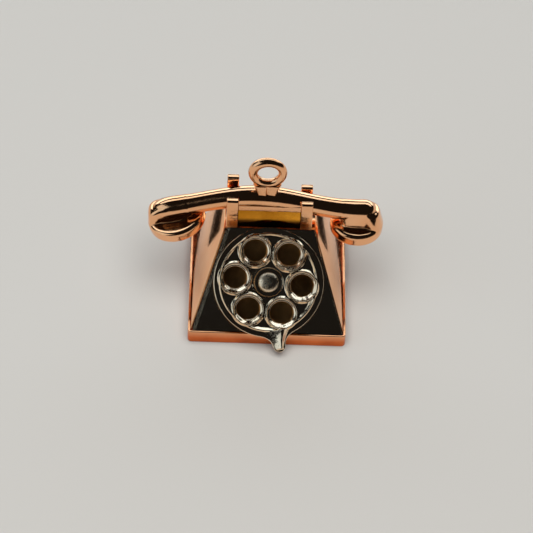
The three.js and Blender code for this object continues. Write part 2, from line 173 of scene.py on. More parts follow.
def bump(tree, height, strength, distance, normal=None):
    node = tree.nodes.new("ShaderNodeBump")
    node.inputs["Strength"].default_value = strength
    node.inputs["Distance"].default_value = distance
    link(tree, height, node.inputs["Height"])
    if normal is not None:
        link(tree, normal, node.inputs["Normal"])
    return node.outputs["Normal"]


def scratches(tree, turn, density, length):
    """Thin straight hairlines: the narrow valleys of a much stretched noise."""
    valley_width = 0.012
    mapping = tree.nodes.new("ShaderNodeMapping")
    mapping.inputs["Rotation"].default_value = turn
    mapping.inputs["Scale"].default_value = (density, density / length, density)
    link(tree, object_position(tree), mapping.inputs["Vector"])
    value = noise(tree, mapping.outputs["Vector"], 1.0, detail=2.0, roughness=0.4)
    away = combine(tree, "ABSOLUTE", combine(tree, "SUBTRACT", value, 0.5), 0)
    return map_range(tree, away, 0, valley_width, 0, 1)


def by_height(tree, low, high):
    """0 at one height above the floor and 1 at another, in millimetres."""
    split = tree.nodes.new("ShaderNodeSeparateXYZ")
    link(tree, object_position(tree), split.inputs["Vector"])
    return map_range(tree, split.outputs["Z"], low * MM, high * MM, 0, 1)


def blend_colour(tree, amount, low, high):
    mixer = tree.nodes.new("ShaderNodeMix")
    mixer.data_type = "RGBA"
    link(tree, amount, mixer.inputs["Factor"])
    link(tree, low, mixer.inputs["A"])
    link(tree, high, mixer.inputs["B"])
    return mixer.outputs["Result"]


# Texture scales, in waves per metre, and the depths of the bumps, in metres.
CLOUD_SCALE = 260
SMUDGE_SCALE = 700
SWELL_SCALE = 320
PIT_SCALE = 5200
SWELL_DEPTH = 0.00006
HAIR_DEPTH = 0.000004
PIT_DEPTH = 0.000006
# Two directions of hairlines: their turn, how many there are in a metre, and their length in widths.
HAIRLINES = (((0.3, 0.2, 0.7), 9000, 14), ((1.1, 0.5, -0.6), 7000, 18))
# Where the cloud noise is all dark and all light.
CLOUD_DARK, CLOUD_LIGHT = 0.3, 0.62


def gold(name, light, dark, rough_low, rough_high, wave=0.2, hair=0.25, pit=0.1, painted_bands=(), crown=None):
    """Polished gold: cloudy colour, smudged gloss, hairline scratches and a faint hand-polished wave.

    wave, hair and pit are the strengths of the wave, the hairlines and the pits. Each band is
    (low, high, light, dark): another colour under a height, the highest band first; these colours are
    painted reflection and painted shade. crown is (low, high, rise): a sheet that is shaded as slightly
    domed between two heights.
    """
    material, shader = new_material(name)
    tree = material.node_tree
    shader.inputs["Metallic"].default_value = 1.0
    place = object_position(tree)
    cloud = noise(tree, place, CLOUD_SCALE, detail=5)
    colour = ramp(tree, cloud, (CLOUD_DARK, dark), (CLOUD_LIGHT, light))
    # each band lays painted reflection and painted shade over the colour below its height
    for low, high, under_light, under_dark in painted_bands:
        under = ramp(tree, cloud, (CLOUD_DARK, under_dark), (CLOUD_LIGHT, under_light))
        colour = blend_colour(tree, by_height(tree, low, high), under, colour)
    link(tree, colour, shader.inputs["Base Color"])
    smudge = noise(tree, place, SMUDGE_SCALE, detail=6, roughness=0.65, distortion=0.4)
    link(tree, map_range(tree, smudge, 0.35, 0.7, rough_low, rough_high), shader.inputs["Roughness"])
    swell = noise(tree, place, SWELL_SCALE, detail=1.5, roughness=0.4)
    normal = bump(tree, swell, wave, SWELL_DEPTH)
    if crown is not None:
        low, high, rise = crown
        share = map_range(tree, by_height(tree, low, high), 0, 1, -1, 1)
        square = combine(tree, "MULTIPLY", share, share)
        dome = combine(tree, "SUBTRACT", 1.0, combine(tree, "MULTIPLY", square, square))
        normal = bump(tree, dome, 1.0, rise * MM, normal)
    hairs = combine(tree, "MINIMUM", *(scratches(tree, *hairline) for hairline in HAIRLINES))
    normal = bump(tree, hairs, hair, HAIR_DEPTH, normal)
    pits = noise(tree, place, PIT_SCALE, detail=3, roughness=0.7)
    normal = bump(tree, map_range(tree, pits, 0.28, 0.4, 0, 1), pit, PIT_DEPTH, normal)
    link(tree, normal, shader.inputs["Normal"])
    return material


# The rose tones below are pinker than the gold itself: the extra pink is a painted reflection of a pink
# surface round the charm, which the pale floor does not give.
ROSE_WITH_PAINTED_PINK = (1.0, 0.54, 0.29)
ROSE_DARK_WITH_PAINTED_PINK = (0.95, 0.46, 0.22)
YELLOW = (1.0, 0.80, 0.58)
YELLOW_DARK = (0.94, 0.70, 0.47)
# Painted reflection: the copper reds stand for a shadowed red surface at the charm's foot, reflected low on
# the plinth band.
FOOT_PAINTED_REFLECTION = (0.80, 0.19, 0.05)
FOOT_PAINTED_REFLECTION_DARK = (0.55, 0.11, 0.03)
# Painted reflection: a deep gold band on the neck's face under the bar.
NECK_PAINTED_REFLECTION = (0.86, 0.36, 0.03)
NECK_PAINTED_REFLECTION_DARK = (0.5, 0.18, 0.01)
# Painted shade: the brown at the neck's foot, under the bar.
NECK_PAINTED_SHADE = (0.16, 0.06, 0.01)
NECK_PAINTED_SHADE_DARK = (0.07, 0.025, 0.005)
OLD_GOLD = (0.66, 0.34, 0.12)
OLD_GOLD_DARK = (0.30, 0.13, 0.04)

body_gold = gold("body_gold", ROSE_WITH_PAINTED_PINK, ROSE_DARK_WITH_PAINTED_PINK, 0.03, 0.09)
# The plinth band's colour runs to a copper red towards its foot: a painted reflection of dark red shade at
# the charm's foot.
plinth_gold = gold("plinth_gold", ROSE_WITH_PAINTED_PINK, ROSE_DARK_WITH_PAINTED_PINK, 0.05, 0.14, wave=0.3, hair=0.4,
                   painted_bands=[(0.6, 1.9, FOOT_PAINTED_REFLECTION, FOOT_PAINTED_REFLECTION_DARK)])
side_gold = gold("side_gold", ROSE_WITH_PAINTED_PINK, ROSE_DARK_WITH_PAINTED_PINK, 0.05, 0.12, wave=0.3, hair=0.16, pit=0.25,
                 crown=(1.4, 8.3, 0.05))
mirror_gold = gold("mirror_gold", YELLOW, YELLOW_DARK, 0.02, 0.06, wave=0.12, hair=0.5, pit=0.5)
# The neck is painted: a deep gold band of painted reflection under the bar's lip, and a brown foot of
# painted shade.
neck_gold = gold("neck_gold", ROSE_WITH_PAINTED_PINK, ROSE_DARK_WITH_PAINTED_PINK, 0.05, 0.14, wave=0.3, hair=0.5,
                 painted_bands=[(bar_z - 1.09, bar_z - 1.03, NECK_PAINTED_REFLECTION, NECK_PAINTED_REFLECTION_DARK),
                        (bar_z - 2.4, bar_z - 2.05, NECK_PAINTED_SHADE, NECK_PAINTED_SHADE_DARK)])
dial_gold = gold("dial_gold", YELLOW, YELLOW_DARK, 0.04, 0.12, wave=0.3, hair=0.3, pit=0.25)
handset_gold = gold("handset_gold", ROSE_WITH_PAINTED_PINK, ROSE_DARK_WITH_PAINTED_PINK, 0.03, 0.09, wave=0.25)
bail_gold = gold("bail_gold", ROSE_WITH_PAINTED_PINK, ROSE_DARK_WITH_PAINTED_PINK, 0.04, 0.1, wave=0.3)
rivet_gold = gold("rivet_gold", YELLOW, YELLOW_DARK, 0.14, 0.36, wave=1.0, hair=0.8, pit=0.8)
inner_gold = gold("inner_gold", OLD_GOLD, OLD_GOLD_DARK, 0.3, 0.5, wave=0.5, hair=0.4, pit=0.6)

# ---- Mesh tools: every mesh is built in millimetres ----


def finish_piece(name, mesh_mm, material, body, replaced, place=None, angle=40):
    """Places a mesh, smooths it up to an angle in degrees and makes it the piece that replaces a node."""
    if place is not None:
        mesh_mm.transform(place)
    mesh_mm.transform(Matrix.Scale(MM, 4))
    mesh_mm.name = name
    piece = bpy.data.objects.new(name, mesh_mm)
    bpy.context.scene.collection.objects.link(piece)
    mesh_mm.materials.clear()
    mesh_mm.materials.append(material)
    mesh_mm.shade_smooth()
    mesh_mm.set_sharp_from_angle(angle=math.radians(angle))
    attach(piece, body)
    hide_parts(*replaced)


def mesh_from(bm):
    bmesh.ops.recalc_face_normals(bm, faces=bm.faces)
    mesh = bpy.data.meshes.new("made")
    bm.to_mesh(mesh)
    bm.free()
    return mesh


def evaluated(mesh, *modifiers):
    """The mesh after a list of (type, settings) modifiers."""
    helper = bpy.data.objects.new("helper", mesh)
    bpy.context.scene.collection.objects.link(helper)
    for kind, settings in modifiers:
        modifier = helper.modifiers.new(kind.lower(), kind)
        for key, value in settings.items():
            setattr(modifier, key, value)
    graph = bpy.context.evaluated_depsgraph_get()
    made = bpy.data.meshes.new_from_object(helper.evaluated_get(graph))
    bpy.data.objects.remove(helper)
    return made


def loft(bm, rings, closed=False):
    """Joins rings of points with equal counts into a skin: closed on itself, or capped at both ends."""
    rows = [[bm.verts.new(p) for p in ring] for ring in rings]
    count = len(rows[0])
    pairs = list(zip(rows, rows[1:]))
    if closed:
        pairs.append((rows[-1], rows[0]))
    for a, b in pairs:
        for i in range(count):
            j = (i + 1) % count
            bm.faces.new((a[i], a[j], b[j], b[i]))
    if not closed:
        bm.faces.new(list(reversed(rows[0])))
        bm.faces.new(rows[-1])


def lathe(bm, profile, segments, closed=False):
    """Turns (radius, height) points round Z."""
    rings = []
    for radius, height in profile:
        angles = [2 * math.pi * i / segments for i in range(segments)]
        rings.append([(radius * math.cos(a), radius * math.sin(a), height) for a in angles])
    loft(bm, rings, closed)


def arc(centre, radius, start, end, steps):
    """Points of an arc, with angles in degrees."""
    made = []
    for i in range(steps + 1):
        angle = math.radians(start + (end - start) * i / steps)
        made.append((centre[0] + radius * math.cos(angle), centre[1] + radius * math.sin(angle)))
    return made


def rounded_rectangle(width, depth, radius, steps=6):
    x, y = width / 2 - radius, depth / 2 - radius
    corners = ((x, y, 0), (-x, y, 90), (-x, -y, 180), (x, -y, 270))
    made = []
    for cx, cy, start in corners:
        made += arc((cx, cy), radius, start, start + 90, steps)
    return made


def extrude(bm, faces, way):
    """Makes flat faces into a solid that reaches from them along a vector."""
    grown = bmesh.ops.extrude_face_region(bm, geom=faces)["geom"]
    bmesh.ops.translate(bm, verts=[g for g in grown if isinstance(g, bmesh.types.BMVert)], vec=way)


def cast(mesh, voxel, smoothing):
    """Melts overlapping closed shells into one, with softened edges, as a casting has."""
    return evaluated(
        mesh,
        ("REMESH", {"mode": "VOXEL", "voxel_size": voxel, "adaptivity": 0.0}),
        ("SMOOTH", {"factor": 0.5, "iterations": smoothing}),
    )


# ---- Body ----
LIP_RISE = 0.13  # how far the band's raised edge stands over the panels' foot
LIP_THICKNESS = 0.14


def sheet_copy(node):
    """A CAD sheet in millimetres, with each flat side as one face."""
    mesh = frame["nodes"][node].data.copy()
    mesh.transform(Matrix.Scale(1 / MM, 4))
    bm = bmesh.new()
    bm.from_mesh(mesh)
    bmesh.ops.remove_doubles(bm, verts=bm.verts, dist=0.001)
    bmesh.ops.dissolve_limit(bm, angle_limit=math.radians(1), verts=bm.verts, edges=bm.edges)
    return bm


def refined(node, name, material, width):
    """A CAD sheet with its edges rounded over."""
    mesh = evaluated(
        mesh_from(sheet_copy(node)),
        ("BEVEL", {"width": width, "segments": 4, "limit_method": "ANGLE",
                   "angle_limit": math.radians(25), "harden_normals": False}),
    )
    finish_piece(name, mesh, material, BODY, [node], angle=50)


def make_front_sheet():
    """The front panel with a filed chamfer along its foot and sides, widest on the left."""
    width, narrow_share = 0.62, 0.22
    bm = sheet_copy("front_panel")
    weight = bm.edges.layers.float.new("bevel_weight_edge")
    bm.normal_update()
    facing = [f for f in bm.faces if f.normal.dot(dial_axis) > 0.99]
    border = {e for f in facing for e in f.edges if any(g not in facing for g in e.link_faces)}
    crest = max(v.co.z for e in border for v in e.verts)
    for edge in border:
        first, second = (v.co for v in edge.verts)
        middle = (first + second) / 2
        if edge.calc_length() < 1 or middle.z > crest - 0.1:
            continue  # the rivet's hole and the top edge stay sharp
        on_left = middle.x < -1 and abs(first.z - second.z) > 1
        edge[weight] = 1.0 if on_left else narrow_share
    mesh = evaluated(mesh_from(bm), ("BEVEL", {"limit_method": "WEIGHT", "width": width, "segments": 2}))
    finish_piece("front_sheet", mesh, mirror_gold, BODY, ["front_panel"], angle=20)


def make_plinth():
    """The upright band: rounded at its foot, with a thin raised edge round the panels."""
    wall, edge, inner_edge = 0.9, 0.07, 0.05
    corner, least_corner = 0.42, 0.17
    width = plinth_high.x - plinth_low.x
    depth = plinth_high.y - plinth_low.y
    ledge, height = plinth_high.z, plinth_high.z + LIP_RISE
    profile = arc((edge, edge), edge, 270, 180, 5) + arc((edge, height - edge), edge, 180, 90, 5)
    profile += [(LIP_THICKNESS, height), (LIP_THICKNESS + 0.02, ledge), (wall - inner_edge, ledge)]
    profile += [(wall, ledge - inner_edge), (wall, inner_edge), (wall - inner_edge, 0)]
    bm = bmesh.new()
    rings = []
    for inset, z in profile:
        radius = max(corner - inset, least_corner)
        outline = rounded_rectangle(width - 2 * inset, depth - 2 * inset, radius)
        rings.append([(x, y, z) for x, y in outline])
    loft(bm, rings, closed=True)
    finish_piece("plinth_band", mesh_from(bm), plinth_gold, BODY, ["plinth_frame"])


make_plinth()
make_front_sheet()
refined("left_side_panel", "left_side_sheet", side_gold, 0.1)
refined("right_side_panel", "right_side_sheet", side_gold, 0.1)
refined("back_panel", "back_sheet", body_gold, 0.1)
refined("top_plate", "top_sheet", body_gold, 0.06)

# ---- Handset ----
BAR_WAIST = 1.05  # the bar's radius where it is thinnest
BAR_HALF = 11.7  # the bar is thinnest halfway to here
BOW_DROP = 2.04  # how far the bowed axis falls over BOW_HALF, to either side of its crest
BOW_HALF = 11.46
BOW_CREST = -1.2
HANDSET_SHIFT = -0.76  # the handset lies a little to the left,
HANDSET_TILT = math.radians(-2.54)  # with its right end raised
CUP_BACK = 1.2  # behind this line the cups are squeezed
CUP_BACK_SHARE = 0.86
SHOULDER_POWER = 3.5  # 2 would make the shoulders' outline an ellipse, and more makes it squarer
handset_place = Matrix.Translation((HANDSET_SHIFT, bar_y, bar_z)) @ Matrix.Rotation(HANDSET_TILT, 4, "Y")


def bow(x):
    """How far the bar's axis lies below its highest point."""
    return BOW_DROP * (1 - math.cos(math.pi * (x - BOW_CREST) / BOW_HALF)) / 2


def bow_angle(x):
    steepest = BOW_DROP * math.pi / (2 * BOW_HALF)
    return math.atan(steepest * math.sin(math.pi * (x - BOW_CREST) / BOW_HALF))


def bar_radius(x):
    return BAR_WAIST + (BAR_RADIUS - BAR_WAIST) * (1 + math.cos(2 * math.pi * x / BAR_HALF)) / 2


def rod(bm, stations, segments=48):
    """A skin round the bowed axis through (x, radius) stations."""
    rings = []
    for x, radius in stations:
        tilt = Matrix.Rotation(bow_angle(x), 3, "Y")
        centre = Vector((x, 0, -bow(x)))
        ring = []
        for i in range(segments):
            angle = 2 * math.pi * i / segments
            ring.append(centre + tilt @ Vector((0, radius * math.cos(angle), radius * math.sin(angle))))
        rings.append(ring)
    loft(bm, rings)


def make_bar():
    """The rod between the cups, which thins a little where the cups' castings take over."""
    reach, taper_start, taper = 9.4, 7.6, 0.06
    end_radii = (0.35, 0.7)
    count = 120
    stations = [(-reach, radius) for radius in end_radii]
    for i in range(count + 1):
        x = -reach + 2 * reach * i / count
        stations.append((x, bar_radius(x) - taper * max(0, (abs(x) - taper_start) / (reach - taper_start))))
    stations += [(reach, radius) for radius in reversed(end_radii)]
    bm = bmesh.new()
    rod(bm, stations, 64)
    finish_piece("handset_rod", mesh_from(bm), handset_gold, BODY,
                 ["handset_bar"], place=handset_place)


def end_stations(side, cup):
    """The bar's end: it rises out of the rod over a short taper and closes as a long dome."""
    back, taper, proud = 2.6, 0.9, 0.035
    inner = cup["x"] - side * back
    outer = cup["x"] + side * cup["bar_reach"]
    dome = cup["bar_dome"]
    stations = [(inner, bar_radius(inner) - 0.25), (inner + side * taper, bar_radius(inner) + 0.015)]
    straight = abs(outer - inner) - taper - dome
    for i in range(1, 9):
        x = inner + side * (taper + straight * i / 8)
        stations.append((x, bar_radius(x) + proud))
    start, radius = stations[-1]
    for i in range(1, 16):
        angle = math.radians(90 * i / 16)
        shrunk = radius * math.cos(angle) ** cup["bar_power"]
        stations.append((start + side * dome * math.sin(angle), shrunk))
    return stations


def smooth_step(value):
    value = min(max(value, 0.0), 1.0)
    return value * value * (3 - 2 * value)


def oblong(turn, half, outer, inner):
    """How far a squared oval reaches at one turn: half to the sides, and outer or inner along the bar."""
    reach = outer if math.cos(turn) > 0 else inner
    if half < 0.02:
        return half
    along = (abs(math.cos(turn)) / reach) ** SHOULDER_POWER
    across = (abs(math.sin(turn)) / half) ** SHOULDER_POWER
    return (along + across) ** (-1 / SHOULDER_POWER)


def shoulder_rings(side, cup):
    """The bar's flank runs down to the cup: flush with its rim at the outer end, set back at the slot."""
    rings = []
    levels, blend = 28, 20  # blend is the number of degrees over which flush gives way to set back
    turns = [2 * math.pi * i / 96 for i in range(96)]
    crest, foot, flank_radius = 1.04, cup["top"] - 0.3, 1.1
    for i in range(levels):
        z = crest + (foot - crest) * (i / (levels - 1))
        width = math.sqrt(max(1 - (max(z, 0) / flank_radius) ** 2, 0.0))
        spread = min(max((cup["spread"] - z) / (cup["spread"] - foot), 0.0), 1.0) ** 0.85
        half = cup["seat"] * width + cup["flare"] * max(z / foot, 0)
        end = cup["crown"] * width ** cup["crown_power"]
        ring = []
        for turn in turns:
            start = oblong(turn, half, end, cup["inner_reach"] * width)
            away = math.degrees(min(turn, 2 * math.pi - turn))
            flush = smooth_step((cup["open"] + blend / 2 - away) / blend)
            r = start + (cup["radius"] - 0.03 - start) * flush * spread
            ring.append((side * r * math.cos(turn), r * math.sin(turn), z))
        rings.append(ring)
    return rings


def make_cup(name, node, cup):
    """A cup that is hollow underneath, with its shoulder and the bar's end, melted into one casting."""
    side = math.copysign(1, cup["x"])
    radius, top, edge = cup["radius"], cup["top"], cup["edge"]
    bottom = top - cup["height"]
    wall, hollow, foot_edge, middle = 0.5, 0.55, 0.3, 0.02
    bm = bmesh.new()
    profile = [(middle, bottom + hollow), (radius - wall, bottom + hollow), (radius - wall, bottom)]
    profile += arc((radius - foot_edge, bottom + foot_edge), foot_edge, -90, 0, 6)
    profile += arc((radius - edge, top - edge), edge, 0, 90, 8)
    profile += [(middle, top)]
    lathe(bm, profile, 96)
    loft(bm, shoulder_rings(side, cup))
    for vert in bm.verts:
        if vert.co.y > CUP_BACK:
            vert.co.y = CUP_BACK + (vert.co.y - CUP_BACK) * CUP_BACK_SHARE
    on_bow = Matrix.Translation((cup["x"], 0, -bow(cup["x"]))) @ Matrix.Rotation(bow_angle(cup["x"]), 4, "Y")
    bm.transform(on_bow)
    rod(bm, end_stations(side, cup))
    mesh = cast(mesh_from(bm), voxel=0.055, smoothing=22)
    finish_piece(name, mesh, handset_gold, BODY, [node], place=handset_place, angle=180)


# x is a cup's place along the bar, and radius, height, top and edge are the cup's own.
# The shoulder: seat is half its depth, inner_reach and crown are how far it reaches inwards and outwards,
# crown_power is how fast the crown shrinks with height, open is the half angle in degrees where it is flush
# with the rim, spread is the height under which it widens towards the rim, and flare widens its foot.
# The bar's end: its reach past the cup's middle, and the length and bluntness of its dome.
make_bar()
make_cup("left_cup", "earpiece_cup", {
    "x": -9.3, "radius": 2.97, "height": 1.28, "top": -0.93, "edge": 0.36,
    "seat": 1.13, "inner_reach": 1.4, "crown": 2.35, "crown_power": 2,
    "open": 30, "spread": 0.75, "flare": 0.12,
    "bar_reach": 2.15, "bar_dome": 2.2, "bar_power": 1.0,
})
make_cup("right_cup", "mouthpiece_cup", {
    "x": 9.55, "radius": 2.72, "height": 1.38, "top": -1.2, "edge": 0.4,
    "seat": 1.15, "inner_reach": 1.7, "crown": 2.05, "crown_power": 4,
    "open": 50, "spread": 0.45, "flare": 0.38,
    "bar_reach": 1.85, "bar_dome": 1.2, "bar_power": 0.8,
})


# ---- Cradle ----
PRONG_THICKNESS = 0.58
PRONG_LEAN = 0.24  # how far the front prongs lean back at their tops
PRONG_FALL = 0.017  # how far a prong's top falls towards its front
BACK_ROUNDING = 0.1
FRONT_ROUNDING = 0.24


def prong_tip(front, back, rise):
    """A prong's top, from back to front: a small rounding, a nearly flat top and a large rounding."""
    front_middle = (front + FRONT_ROUNDING, rise - PRONG_FALL - FRONT_ROUNDING)
    return (arc((back - BACK_ROUNDING, rise - BACK_ROUNDING), BACK_ROUNDING, 0, 90, 5)
            + arc(front_middle, FRONT_ROUNDING, 86, 180, 9))


def make_fork(name, node, front_rise, back_rise):
    """A U across the bar. The rises are its prongs' tops over bar_z, and its hollow follows the bow."""
    low, high = box_mm(node)
    middle = (low.x + high.x) / 2
    local = middle - HANDSET_SHIFT
    axis_drop = bow(local) + local * math.sin(HANDSET_TILT)
    outer = (high.y - low.y) / 2
    inner = outer - PRONG_THICKNESS
    foot = low.z - bar_z
    outline = [(-outer, foot), (outer, foot)]
    outline += prong_tip(inner, outer, back_rise)
    outline += arc((0, -axis_drop), inner, 0, -180, 24)
    outline += prong_tip(-outer, -inner, front_rise)
    bm = bmesh.new()
    half = (high.x - low.x) / 2
    face = bm.faces.new([bm.verts.new((-half, y, z)) for y, z in outline])
    extrude(bm, [face], (2 * half, 0, 0))
    mesh = evaluated(mesh_from(bm), ("BEVEL", {"width": 0.09, "segments": 4, "limit_method": "ANGLE",
                                               "angle_limit": math.radians(50)}))
    for vert in mesh.vertices:
        if vert.co.y < -inner:
            vert.co.y += PRONG_LEAN * (vert.co.z - foot) / (front_rise - foot)
    place = Matrix.Translation((middle, (low.y + high.y) / 2, bar_z))
    finish_piece(name, mesh, body_gold, BODY, [node], place=place, angle=60)


make_fork("left_fork", "left_cradle_fork", 0.65, 1.33)
make_fork("right_fork", "right_cradle_fork", 0.48, 0.18)


def make_neck():
    """A block under the bar: its front leans back, and a narrow saddle lip holds the bar."""
    low, high = box_mm("cradle_neck")
    front, back, foot = low.y + 0.25, high.y - 0.02, low.z
    lip_top, lip_foot, lip_rounding, lip_face = bar_z - 0.3, bar_z - 0.98, 0.12, bar_y - 0.98
    outline = [(front, foot), (back, foot), (back, bar_z - 1.3)]
    outline += arc((high.y - 0.3, bar_z - 1.0), 0.26, 0, 90, 6)
    outline += arc((bar_y - 1.0, lip_top - lip_rounding), lip_rounding, 90, 170, 5)
    outline += [(bar_y - 1.14, lip_foot), (lip_face, lip_foot - 0.06), (lip_face, lip_foot - 0.1)]
    outline += [(bar_y - 1.22, foot + 0.35)]
    bm = bmesh.new()
    face = bm.faces.new([bm.verts.new((low.x, y, z)) for y, z in outline])
    extrude(bm, [face], (high.x - low.x, 0, 0))
    finish_piece("neck_block", mesh_from(bm), neck_gold, BODY, ["cradle_neck"], angle=40)


make_neck()


# ---- Ring and collar ----
RING_RADIUS = 1.5
WIRE_RADIUS = 0.47


def make_ring():
    """A ring of round wire whose thickness varies by a few hundredths round it."""
    bm = bmesh.new()
    around, across = 120, 40
    one_sided, two_sided = 0.05, 0.03
    rings = []
    for i in range(around):
        angle = 2 * math.pi * i / around
        wire = WIRE_RADIUS * (1 - one_sided * math.cos(angle + 0.6) - two_sided * math.sin(2 * angle))
        ring = []
        for j in range(across):
            turn = 2 * math.pi * j / across
            out = RING_RADIUS + wire * math.cos(turn)
            ring.append((out * math.cos(angle), wire * math.sin(turn), out * math.sin(angle)))
        rings.append(ring)
    loft(bm, rings, closed=True)
    finish_piece("hanging_ring", mesh_from(bm), bail_gold, BODY, ["bail_ring"],
                 place=Matrix.Translation(ring_centre), angle=180)


def make_collar():
    """A wedge that widens upwards, with a crease down its front and back where the ring is closed."""
    bm = bmesh.new()
    rings = []
    levels, foot, height, side_depth = 9, 0.5, 1.5, 0.2
    for i in range(levels):
        share = i / (levels - 1)
        half = 0.95 + 0.5 * share
        flat = half * 0.8
        depth = 0.70 - 0.06 * share
        front = [(-half, -side_depth), (-flat, -depth), (-0.12, -depth - 0.03), (0.02, -depth + 0.13),
                 (0.14, -depth + 0.06), (flat, -depth + 0.04), (half, -side_depth)]
        back = [(x, -y) for x, y in reversed(front)]
        rings.append([(x, y, foot + height * share) for x, y in front + back])
    loft(bm, rings)
    mesh = cast(mesh_from(bm), voxel=0.045, smoothing=7)
    place = Matrix.Translation((ring_centre.x, ring_centre.y, bar_z))
    finish_piece("ring_collar", mesh, bail_gold, BODY, ["bail_collar"], place=place, angle=180)


make_ring()
make_collar()

# ---- Dial: heights are over the dial joint's centre ----
WEB_LOW = 0.4
WEB_TOP = 0.72
FLANGE_RADIUS = 5.6
RIM_INNER, RIM_OUTER = 4.87, 4.99
RIM_SUNK = 0.6  # the rim starts inside the web
HOLE_PITCH = 3.43  # from the wheel's centre to a hole's
HOLE_RADIUS = 1.15
HOLE_COUNT = 6
HOLE_START = math.radians(-5.2)
WELL_RADIUS = 1.48
WELL_FLOOR = 0.6
BORE_RADIUS = 0.43
HUB_OUTER = 1.7
TAB_ANGLE = math.radians(-78.5)
TAB_TIP = 7.2
TAB_ROUNDING = 0.62
TAB_ROOT = 1.75  # half the tab's width where it leaves the flange
TAB_NECK = 0.7  # and where its curved sides end
COLLAR_BORE = 1.12
COLLAR_OUTER = 1.8
COLLAR_SUNK = 0.5  # the collars start inside the web
COLLAR_TOP = 0.93
COLLAR_RISE = 0.43
COLLAR_SKEW = 0.32
COLLAR_TILT = 0.03


def hole_centres():
    for i in range(HOLE_COUNT):
        angle = HOLE_START + 2 * math.pi * i / HOLE_COUNT
        yield HOLE_PITCH * math.cos(angle), HOLE_PITCH * math.sin(angle)


def flange_outline():
    """A circle that runs out into the tab, with its tab along +X before it is turned."""
    opening = math.degrees(math.asin(TAB_ROOT / FLANGE_RADIUS))
    outline = arc((0, 0), FLANGE_RADIUS, opening, 360 - opening, 110)
    start = Vector((FLANGE_RADIUS * math.cos(math.radians(opening)), -TAB_ROOT))
    neck_point = Vector((6.25, -TAB_NECK))
    control = Vector((5.62, -TAB_NECK - 0.22))
    lower = []
    for i in range(1, 9):
        t = i / 8
        lower.append(start.lerp(control, t).lerp(control.lerp(neck_point, t), t))
    end = arc((TAB_TIP - TAB_ROUNDING, 0), TAB_ROUNDING, -88, 88, 12)
    outline += [tuple(p) for p in lower] + end + [(p.x, -p.y) for p in reversed(lower)]
    turn = Matrix.Rotation(TAB_ANGLE, 2)
    return [tuple(turn @ Vector(p)) for p in outline]


def plate(bm, outline, holes, low, high):
    """A flat plate between two heights, with round holes through it."""
    edges = []
    for loop in [outline, *holes]:
        verts = [bm.verts.new((x, y, low)) for x, y in loop]
        edges += [bm.edges.new((a, b)) for a, b in zip(verts, verts[1:] + verts[:1])]
    filled = bmesh.ops.triangle_fill(bm, use_beauty=True, edges=edges)["geom"]
    faces = [g for g in filled if isinstance(g, bmesh.types.BMFace)]
    extrude(bm, faces, (0, 0, high - low))


def tab_ridge(bm):
    """The raised back of the tab: a long slope to the left of its crest and a short one to the right."""
    rings = []
    steps, start, end = 12, 4.9, TAB_TIP - 0.3
    for i in range(steps + 1):
        share = i / steps
        x = start + (end - start) * share
        half = 0.8 * (1 - share) ** 1.6 + 0.5 - 0.12 * share
        height = 0.56 - 0.16 * share
        section = [(half, WEB_TOP - 0.2), (half, WEB_TOP + 0.02), (half * 0.62, WEB_TOP + height * 0.96),
                   (half * 0.42, WEB_TOP + height), (-half, WEB_TOP + 0.03), (-half, WEB_TOP - 0.2)]
        turn = Matrix.Rotation(TAB_ANGLE, 3, "Z")
        rings.append([turn @ Vector((x, y, z)) for y, z in section])
    loft(bm, rings)


def wheel_rim(bm):
    """The raised ring round the holes: its inner side is a long slope at the foot and steep at the head."""
    rings = []
    for i in range(160):
        angle = 2 * math.pi * i / 160
        slope = 0.05 + 0.27 * smooth_step(0.6 - math.sin(angle))
        profile = [(RIM_INNER - slope - 0.1, RIM_SUNK), (RIM_INNER - slope, WEB_TOP), (RIM_INNER, 0.94)]
        profile += arc((4.93, 0.93), 0.05, 120, 40, 5)
        profile += [(4.98, 0.86), (RIM_OUTER, WEB_TOP), (RIM_OUTER, RIM_SUNK)]
        rings.append([(r * math.cos(angle), r * math.sin(angle), z) for r, z in profile])
    loft(bm, rings, closed=True)


def hole_collar(bm, centre):
    """A round finger hole's raised collar, drilled a little askew so that its foot side is a wide funnel."""
    profile = [(COLLAR_BORE, WEB_LOW), (COLLAR_BORE, 0.52), (1.51, 0.92)]
    profile += arc((1.55, COLLAR_TOP), 0.05, 130, 50, 4)
    profile += [(1.6, COLLAR_TOP), (COLLAR_OUTER, 0.7), (COLLAR_OUTER, COLLAR_SUNK)]
    rings = []
    for i in range(72):
        angle = 2 * math.pi * i / 72
        ring = []
        for r, z in profile:
            x, y = r * math.cos(angle), r * math.sin(angle)
            height = max(z - COLLAR_SUNK, 0)
            ring.append((centre[0] + x, centre[1] + y + COLLAR_SKEW * (COLLAR_TOP - z),
                         z - COLLAR_TILT * y * height / COLLAR_RISE))
        rings.append(ring)
    loft(bm, rings, closed=True)


def uneven(mesh, broad, fine):
    """The slight waviness that casting and hand polishing leave on the wheel's top."""
    broad_scale, fine_scale, lowest = 0.8, 2.9, 0.6
    for vert in mesh.vertices:
        if vert.co.z > lowest:
            broad_part = broad * value_noise.noise(vert.co * broad_scale)
            vert.co.z += broad_part + fine * value_noise.noise(vert.co * fine_scale)


